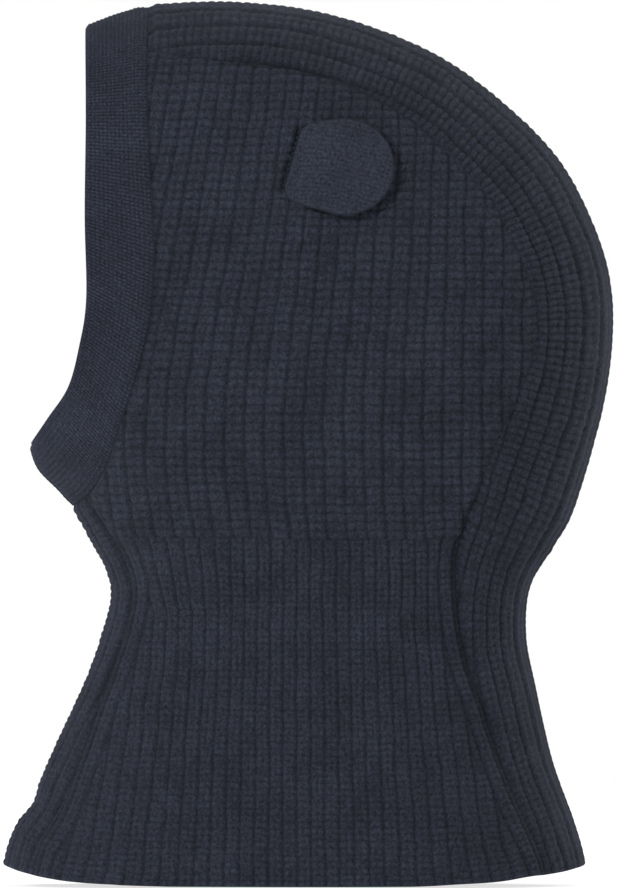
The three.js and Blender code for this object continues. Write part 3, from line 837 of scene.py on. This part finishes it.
def strip_lattice(rows, inside, inset, reach, pitch_at, seed):
    """Points across a strip that wraps over a midline; rows are (q, count, waffle)."""
    parts = []
    for q, v, waffle in rows:
        widest = math.acos(1 - float(inset(q)) / reach)
        y, z = inside(q, 0.0)
        half = float(full_half(y, z))
        pitch = pitch_at(z)
        angle = np.linspace(-widest, widest, STRIP_STEPS)
        arc = np.hypot(half * np.cos(angle), reach * np.sin(angle))
        rate = np.maximum(reach * np.abs(np.sin(angle)), arc / WIDEST_COLUMN) / pitch
        run = np.cumsum(rate) * (angle[1] - angle[0])
        across = np.cumsum(arc) * (angle[1] - angle[0])
        across -= across[-1] / 2
        u = run - run[-1] / 2 + 0.5 + waves(across, q * WOBBLE_LENGTH, STRIP_WOBBLE, seed)
        k = phase_steps(u, np.zeros(len(u)), WAFFLE_ACROSS if waffle else RIB_ACROSS)
        edge = across[-1] - np.abs(across)
        parts.append((angle[k], across[k], u[k], v, q, waffle, edge[k]))
    return lattice_of("angle across u v q waffle edge", parts)


def strip_points(rows, inside, inset, reach, length, pitch_at, seed, seam_depth, ridge):
    """Moves a strip's lattice along its stitches, then raises it into cloth. ridge says how
    deep the rows stay on the midline."""
    rows = strip_rows(length, rows)
    p, counts = strip_lattice(rows, inside, inset, reach, pitch_at, seed)
    waffle = p.waffle > 0.5
    along, to_hem = p.q * length, (1 - p.q) * length
    calm = ramp(p.edge, *CALM_EDGE) * ramp(np.minimum(along, to_hem), *CALM_END)
    slant = np.where(waffle, SLANT_WAFFLE, SLANT_RIB)
    wander = waves(p.across, along, STRIP_WANDER, seed)
    moved = p.q + calm * (wander + slant * across_column(p.u)) / length
    yz = inside(moved, reach * (1 - np.cos(p.angle)))
    base, normal = surface(yz)
    base = draped(base, normal)
    side = np.where(p.angle < 0, -1.0, 1.0)
    base[:, 0] *= side
    normal[:, 0] *= side
    kept = ridge(yz[:, 1])
    ease = kept + (1 - kept) * ramp(np.abs(p.across), *RIDGE_RANGE)
    uneven = noise(p.across, along, UNEVEN_SIZE, seed + 2)
    body = eased_edge(knit_body(p.u, p.v, waffle, uneven * ease, ease), p.edge)
    height = knit_height(body, waffle, yz[:, 1] - CROWN_LINE)
    height += waves(p.across, along, STRIP_WAVE, seed) * ramp(p.edge, *WAVE_EDGE)
    depth = seam_depth(yz[:, 0], yz[:, 1])
    height += crease(p.edge, depth, STRIP_CREASE) + crease(along, START_DEPTH, START_CREASE)
    # painted shade along the edges and the start, and over the crown against the brighter light from
    # above
    painted_shade = seam_shade(p.edge, depth - SHADE_FREE) + seam_shade(along, START_DEPTH)
    painted_shade += CROWN_SHADE * ramp(yz[:, 1], *CROWN_SHADE_Z)
    return counts, *knit_faces(p, base, normal, body, height, painted_shade, to_hem)


def strip_rows(length, rows):
    """Rows by their share of the midline, with the ones that round the hem."""
    rows = [(a / length, v, waffle) for a, v, waffle in rows]
    ends = [(1 - level / length, 0.5, False) for level in HEM_ROW_LEVELS[::-1]]
    return [r for r in rows if r[0] < 1 - HEM_GAP / length] + ends


def length_to(line, start, height):
    """Length of a midline below its start, and how much of that lies above a height."""
    low = np.argmax(line.points[:, 1])
    far = np.interp(-height, -line.points[low:, 1], line.far[low:])
    return line.length * (1 - start), far - start * line.length


def zone(places, per, waffle):
    """A strip row at each distance along its midline."""
    return [(a, k / per, waffle) for k, a in enumerate(places)]


def crown_gusset():
    length, line = length_to(BACK, BACK_START, CROWN_LINE)
    step, rib_step = WAFFLE_ROW / WAFFLE_UP, RIB_ROW / RIB_UP
    up = line - (np.arange(int(line / step)) + 0.5) * step
    down = line + (np.arange(int((length - line) / rib_step)) + 0.5) * rib_step
    waffle = [*zone(up[:-1], WAFFLE_UP, True), (ROW_GAP, 0.5, True)][::-1]

    def pitch_at(z):
        return GUSSET_RIB + (GUSSET_WAFFLE - GUSSET_RIB) * float(ramp(z, *GUSSET_PITCH_Z))

    shape = strip_points(
        waffle + zone(down, RIB_UP, False), inside_back, back_inset,
        BACK_REACH, length, pitch_at, CROWN_SEED, back_depth,
        lambda z: 0.2 + 0.25 * ramp(z, *CROWN_RIDGE_Z))
    return settle(build_sheet("crown_back_knit", *shape), "waffle_knit", "crown_back_gusset")


def throat_gusset():
    length, line = length_to(FRONT, FRONT_START, RIB_Z)
    waffle = zone(np.arange(ROW_GAP, line, WAFFLE_ROW / WAFFLE_UP), WAFFLE_UP, True)
    rib = zone(np.arange(line, length, RIB_ROW / RIB_UP), RIB_UP, False)
    shape = strip_points(
        waffle + rib, inside_front, front_inset, FRONT_REACH, length,
        lambda z: THROAT_RIB, THROAT_SEED, lambda y, z: throat_depth(z), lambda z: 0.6)
    return settle(build_sheet("throat_knit", *shape), "rib_knit", "throat_gusset")


# ---- face band ----
BAND_WIDTH = 27
BAND_LINE_STEPS = 600
BAND_STEP = 3  # mesh steps over one stitch of the band
BAND_END = 0.16  # share of the band over which its ends bend
BAND_LAST = (-0.4, -0.1, 0.0)  # columns that round the folded edge
BAND_DEPTH, BAND_SUNK, BAND_INNER = 0.62, 0.45, 0.2
BAND_UNEVEN, BAND_WAVE = [(0.25, 2.4, 31)], [(0.3, 30, 32)]
BAND_STITCH = (0.7, 0.7, 0.8)
BAND_DIP, BAND_DIP_WIDTH = 0.8, 1.3
CHIN_REACH, CHIN_DIP, CHIN_CALM = (14, 2), (0.5, 0, 2.5), 0.75


def end_bends(share, w):
    """Bends the band's ends to the chin and crown lines, fading along the band."""
    bends = 0
    for line, start, along in ((FRONT, FRONT_START, share), (BACK, BACK_START, 1 - share)):
        bend = line.at(start * (1 - w)) - (line.at(start) * (1 - w) + line.at(0.0) * w)
        bends = bends + bend * (1 - ramp(along, 0, BAND_END))[:, None]
    return bends


def band_sheet():
    """The band from its seam to its folded edge, in one strip round the face."""
    shares = np.linspace(0, 1, BAND_LINE_STEPS)
    at = surface(BAND_SEAM.at(shares))[0]
    far = np.r_[0, np.cumsum(np.linalg.norm(np.diff(at, axis=0), axis=1))]
    share = np.interp(np.append(np.arange(0, far[-1], BAND_ROW / BAND_STEP), far[-1]), far, shares)
    count = np.arange(len(share)) / BAND_STEP
    sewn, edge = BAND_SEAM.at(share), FACE_EDGE.at(share)
    columns = np.arange(0, BAND_WIDTH + BAND_LAST[0] - 0.2, BAND_PITCH / BAND_STEP)
    rows = []
    for a in np.r_[columns, np.add(BAND_WIDTH, BAND_LAST)]:
        yz = sewn + (edge - sewn) * a / BAND_WIDTH + end_bends(share, a / BAND_WIDTH)
        base, normal = surface(yz)
        base[:, 0] = np.maximum(base[:, 0], 0.1)
        base, normal = both_sides(base), both_sides(normal)
        v = np.r_[count, 2 * count[-1] - count[::-1] + 1 / BAND_STEP]
        u = np.full(len(v), a / BAND_PITCH)
        run = v * BAND_ROW
        fine = fine_stitches(v, u, *BAND_STITCH) * (1 + waves(run, u * 3, BAND_UNEVEN))
        chin = ramp(np.minimum(run, run[-1] - run), *CHIN_REACH)
        fold = quarter_round((BAND_WIDTH - a) / HEM_ROUND, HEM_ROUND)
        height = (BAND_DEPTH * fine - BAND_SUNK) * (1 - CHIN_CALM * chin)
        height += waves(run, u * BAND_PITCH, BAND_WAVE)
        height += crease(a, BAND_DIP, BAND_DIP_WIDTH) * (1 - 0.7 * chin)
        height -= chin * hill(a, *CHIN_DIP)
        outer = base + normal * (height - fold)[:, None]
        inner = base - normal * (BAND - 0.3 + BAND_INNER * fine - fold)[:, None]
        rows.append((outer, inner, np.column_stack([u, v, np.clip(fine, 0, 1.2)])))
    return stacked(rows)


def face_band():
    return settle(build_sheet("face_band_knit", *band_sheet()), "band_knit", "face_band")


# ---- ears ----
def ear_frame(side):
    """Origin on the hinge; directions out along the ear, up its base and out of it."""
    joint = next(j for j in frame["joints"] if j["name"] == f"{side}_ear_hinge")
    origin = np.array(joint["pos_m"]) / MM - OFFSET
    line = np.array(joint["axis"], float)
    line *= math.copysign(1, line[2]) / np.linalg.norm(line)
    node = frame["nodes"][f"{side}_ear_front"]
    world = np.array([node.matrix_world @ v.co for v in node.data.vertices]) / MM
    normal = np.linalg.svd(world - world.mean(0))[2][2]
    normal *= math.copysign(1, normal[0]) * (1 if side == "left" else -1)
    out = np.cross(normal, line)
    out *= math.copysign(1, out[1])
    return origin, out, line, normal


EAR_START = -0.9  # the sewn edge lies this far behind the hinge
EAR_OUT = 20.3  # from the base to the middle of the ear's round
EAR_BASE_HALF, EAR_HALF = 14.4, 19.7
EAR_LOW, EAR_RAISE = -1.7, 0.5  # shift of base and round along the hinge
EAR_CORNER = 2.6  # radius of its corners at the base
EAR_LAYER, EAR_GAP = 1.3, 0.15
EAR_SEWN_OVER, EAR_BEND = -0.1, (-1, 15)  # sewn edge over the cloth, its bend
EAR_ROUND, EAR_ROUND_STEPS = 1.54, 62  # the last row lies just short of the tip
EAR_ROUNDED, EAR_LOOPS, EAR_THIN = 2.4, 0.45, 0.08
EAR_PUFF, EAR_PUFF_EDGE, EAR_PUFF_BASE = 1.1, (0, 7), (-2, 8)
EAR_DRIFT, EAR_UNEVEN, EAR_WAVE = [(0.3, 7, 41)], [(0.4, 1.3, 43)], [(0.35, 13, 44)]
EAR_STITCH = (0.8, 0.55, 1)
EAR_CURL, EAR_CURL_FROM, EAR_CURL_SPAN = 1.6, 8, 34


def ear_half(s):
    """Half the ear's height at distances s out from its base."""
    rise = np.sin(np.clip(s / EAR_OUT, 0, 1) * math.pi / 2) ** 0.7
    near = EAR_BASE_HALF + (EAR_HALF - EAR_BASE_HALF) * rise
    near = near - quarter_round((s - EAR_START) / EAR_CORNER, EAR_CORNER)
    past = np.clip((s - EAR_OUT) / EAR_HALF, 0, 1)
    return np.where(s < EAR_OUT, near, EAR_HALF * np.sqrt(1 - past ** 2))


def over_cloth(place, normal):
    """How far points near an ear stand over the smooth hood."""
    return (np.abs(place[:, 0]) - surface(place[:, 1:])[0][:, 0]) * abs(normal[0])


def on_ear(axes, s, t):
    """Middle of the ear at s out from its base and t along it. It curls away from the hood
    towards its outer edge, and its sewn end bends down to the cloth."""
    origin, out, line, normal = axes
    shift = EAR_LOW + (EAR_RAISE - EAR_LOW) * ramp(s, 0, EAR_OUT)
    place = origin + s[:, None] * out + (t + shift)[:, None] * line
    curl = EAR_CURL * np.clip((s - EAR_CURL_FROM - 0.4 * t) / EAR_CURL_SPAN, 0, 2) ** 2
    dip = (over_cloth(place, normal) - EAR_SEWN_OVER) * (1 - ramp(s, *EAR_BEND))
    return place + (curl - dip)[:, None] * normal


def ear_places(steps, start, step):
    """Distances out from the base, close together round the tip."""
    turn = np.linspace(0, EAR_ROUND, steps)[1:]
    return np.r_[np.arange(start, EAR_OUT, step), EAR_OUT + EAR_HALF * np.sin(turn)]


def ear_relief(s, t, rim, face):
    """Height of a layer's outer face over the ear's middle, and its stitches."""
    u = t / JERSEY + waves(t, s, EAR_DRIFT)
    v = s / JERSEY + waves(s, t, EAR_DRIFT, 1)
    loops = fine_stitches(u, v, *EAR_STITCH) * (1 + waves(t, s, EAR_UNEVEN))
    rough = (waves(t, s, EAR_WAVE) + EAR_LOOPS * loops - 0.25) * np.clip(rim / 3, 0, 1)
    tall = EAR_GAP + EAR_LAYER - quarter_round(rim / EAR_ROUNDED, EAR_LAYER) + rough
    tall = np.maximum(tall, EAR_GAP + EAR_THIN)
    if face == 1:
        tall += EAR_PUFF * ramp(rim, *EAR_PUFF_EDGE) * ramp(s, *EAR_PUFF_BASE)
    return tall, np.column_stack([u, v, np.clip(loops, 0, 1.2)])


def ear_layer(side, face):
    """One layer of an ear: face is 1 for the front and -1 for the back."""
    origin, out, _, normal = axes = ear_frame(side)
    step = JERSEY / 4
    rows = []
    for far in ear_places(EAR_ROUND_STEPS, EAR_START, step):
        half = float(ear_half(far))
        t = np.linspace(-half, half, max(4, round(2 * half / step)) + 1)
        s = np.full(len(t), far)
        past = s - EAR_OUT
        rim = np.where(past > 0, EAR_HALF - np.hypot(past, t), half - np.abs(t))
        tall, pattern = ear_relief(s, t, np.maximum(np.minimum(rim, s + 1.2), 0), face)
        place = on_ear(axes, s, t)
        outer = place + normal * face * tall[:, None]
        rows.append((outer, place + normal * face * EAR_GAP, pattern))
    name = f"{side}_ear_" + {1: "front", -1: "back"}[face]
    piece = build_sheet(f"{name}_knit", *stacked(rows), step=2)
    settle(piece, "ear_knit", name, None)
    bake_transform(piece)
    return piece


# ---- yarn ----
YARN_STEP, YARN_RING, YARN_TAPER = 0.4, 10, 0.25
YARN_ASIDE = [0.9, 0.1, 0.42]  # no thread runs along this direction
PLY_MEAN, PLY_SWING = 0.78, 0.22
YARN, TWIST = 0.42, 3.4  # radius of a linking thread, length of its twist
RIM_YARN, RIM_TWIST, CHIN_YARN, WHIP_TWIST = 0.5, 3.0, 0.4, 2.4
GUSSET_UNDER, THROAT_UNDER, BAND_UNDER = 0.75, 1.5, 1.35  # depth of the seams in the cloth
CHIN_ENDS, BAND_YARN_START, SEAM_ENDS = 0.012, 0.004, slice(5, -2)
WHIP_PITCH = 2.3
WHIP = [(0, -2.0, -2.2), (0.5, -1.4, -1.1), (1.1, -0.5, 0.1), (1.5, 0.2, -0.9)]  # one stitch


def yarn(name, path, radius, twist, body="hood"):
    """A two-ply thread along a path of points, for the seam of the same name."""
    path = np.asarray(path, float)
    far = np.r_[0, np.cumsum(np.linalg.norm(np.diff(path, axis=0), axis=1))]
    count = int(far[-1] / YARN_STEP) + 2
    places = np.linspace(0, far[-1], count)
    at = np.column_stack([np.interp(places, far, path[:, k]) for k in range(3)])
    tangent = unit(np.gradient(at, axis=0))
    side = unit(np.cross(tangent, YARN_ASIDE))
    up = np.cross(side, tangent)
    ring = YARN_RING
    angle = np.linspace(0, 2 * math.pi, ring, endpoint=False)[None]
    turn = places[:, None] / twist * 2 * math.pi
    lobes = radius * (PLY_MEAN + PLY_SWING * np.cos(2 * (angle - turn)))
    lobes[[0, -1]] *= YARN_TAPER
    around = np.cos(angle)[..., None] * side[:, None] + np.sin(angle)[..., None] * up[:, None]
    points = (at[:, None] + around * lobes[..., None]).reshape(-1, 3)
    faces = []
    for i in range(count - 1):
        for j in range(ring):
            a, b = i * ring + j, i * ring + (j + 1) % ring
            faces += [(a, b, b + ring), (a, b + ring, a + ring)]
    caps = [(0, j + 1, j) for j in range(1, ring - 1)]
    last = (count - 1) * ring
    caps += [(last, last + j, last + j + 1) for j in range(1, ring - 1)]
    piece = make_mesh(f"{name}_yarn", points, faces + caps)
    return settle(piece, "linking_thread", f"{name}_seam", body)


def seam_path(yz, depth, side=1):
    base, normal = surface(yz)
    return (base - normal * depth) * [side, 1, 1]


def seam_threads():
    """The linked seams, sunk between the panels that they join."""
    back, throat = BACK_SEAM[SEAM_ENDS], THROAT_SEAM[SEAM_ENDS]
    depth = back_depth(*back.T)[:, None] + GUSSET_UNDER
    for side, sign in (("left", 1), ("right", -1)):
        yarn(f"{side}_gusset", seam_path(back, depth, sign), YARN, TWIST)
        yarn(f"{side}_throat", seam_path(throat, THROAT_UNDER, sign), YARN, TWIST)
    band = seam_path(BAND_SEAM.at(np.linspace(BAND_YARN_START, 1, 300)), BAND_UNDER)
    yarn("face_band", both_sides(band), YARN, TWIST)
    chin = FRONT.at(np.linspace(CHIN_ENDS, FRONT_START - CHIN_ENDS, 40))
    yarn("chin", seam_path(chin, THROAT_UNDER), CHIN_YARN, RIM_TWIST)


def ear_threads(side):
    """The yarn round an ear's rim, and the whip stitches along its base."""
    origin, out, line, normal = axes = ear_frame(side)
    base = np.linspace(-0.5, EAR_OUT, 30)
    s = np.r_[base, ear_places(40, EAR_OUT, 1)]
    half = ear_half(s)
    path = np.vstack([on_ear(axes, s, half), on_ear(axes, s, -half)[::-1]])
    yarn(f"{side}_ear_rim", path, RIM_YARN, RIM_TWIST, f"{side}_ear")
    places = np.arange(-EAR_BASE_HALF + 0.5, EAR_BASE_HALF, WHIP_PITCH) + EAR_LOW
    whips = [(k + along, s, height) for k in places for along, s, height in WHIP]
    k, s, height = np.array(whips).T[..., None]
    path = origin + k * line + s * out
    path = path - (over_cloth(path, normal)[:, None] - height) * normal
    yarn(f"{side}_ear_base", path, YARN, WHIP_TWIST)


LATTICE = panel_lattice()
LEFT_PANEL, RIGHT_PANEL = side_panel("left", *LATTICE), side_panel("right", *LATTICE)
CROWN = crown_gusset()
THROAT = throat_gusset()
FACE = face_band()
EARS = [ear_layer(side, face) for side in ("left", "right") for face in (1, -1)]
seam_threads()
ear_threads("left")
ear_threads("right")


# ---- stage, light and camera ----
WHITE = (1, 1, 1, 1)
FLOOR_SIZE, FLOOR_GAP = 4.8, 0.0005
FLOOR_SURFACE = {
    "Base Color": (0.4, 0.4, 0.4, 1), "Roughness": 0.9, "Emission Color": WHITE,
    "Emission Strength": 0.7}
AMBIENT = 0.72
LAMPS = {"key": ((2.0, -1.4, 0.9), 0.5, 48), "fill": ((-1.2, 1.8, 0.7), 1.6, 28)}  # place, size, watts
CAMERA_FAR, CAMERA_CLIP, SENSOR = 10.0, 60, 36
FRAME_MARGIN = 1.007  # the picture's height over the object's
CAMERA_SHIFT = (0.0004, -0.0002)


def stage_floor():
    half = FLOOR_SIZE / 2
    mesh = bpy.data.meshes.new("floor")
    corners = [(-half, -half, 0), (half, -half, 0), (half, half, 0), (-half, half, 0)]
    mesh.from_pydata(corners, [], [(0, 1, 2, 3)])
    floor = new_object("floor", mesh)
    floor.location = (0, 0, CAD_BOX[0][2] - FLOOR_GAP)
    material = bpy.data.materials.new("pale_floor")
    material.use_nodes = True
    tree = material.node_tree
    feed(tree, tree.nodes["Principled BSDF"], FLOOR_SURFACE)
    floor.data.materials.append(material)


def studio_light():
    """A white background that lights less than it shows, and two lamps."""
    world = bpy.data.worlds.new("studio")
    world.use_nodes = True
    tree = world.node_tree
    lit = tree.nodes["Background"]
    feed(tree, lit, {"Color": WHITE, "Strength": AMBIENT})
    seen = add_node(tree, "Background", {"Color": WHITE})
    to_camera = add_node(tree, "LightPath").outputs["Is Camera Ray"]
    pick = add_node(tree, "MixShader", {
        "Fac": to_camera, 1: lit.outputs["Background"], 2: seen.outputs["Background"]})
    feed(tree, tree.nodes["World Output"], {"Surface": pick.outputs["Shader"]})
    bpy.context.scene.world = world
    for name, (place, size, watts) in LAMPS.items():
        light = bpy.data.lights.new(name, "AREA")
        light.energy = watts
        light.size = size
        lamp = new_object(name, light)
        lamp.location = place
        lamp.rotation_euler = (-lamp.location).to_track_quat("-Z", "Y").to_euler()


def camera():
    """Looks at the wearer's left from far off, as flat as the photo."""
    low, high = CAD_BOX
    data = bpy.data.cameras.new("camera")
    data.sensor_width = SENSOR
    data.lens = SENSOR * CAMERA_FAR / ((high[2] - low[2]) * FRAME_MARGIN)
    data.clip_end = CAMERA_CLIP
    cam = new_object("camera", data)
    middle = [(low[k] + high[k]) / 2 + shift for k, shift in zip((1, 2), CAMERA_SHIFT)]
    cam.location = (CAMERA_FAR, *middle)
    cam.rotation_euler = (math.pi / 2, 0, math.pi / 2)
    bpy.context.scene.camera = cam
    bpy.context.scene.view_settings.view_transform = "Standard"


stage_floor()
studio_light()
camera()
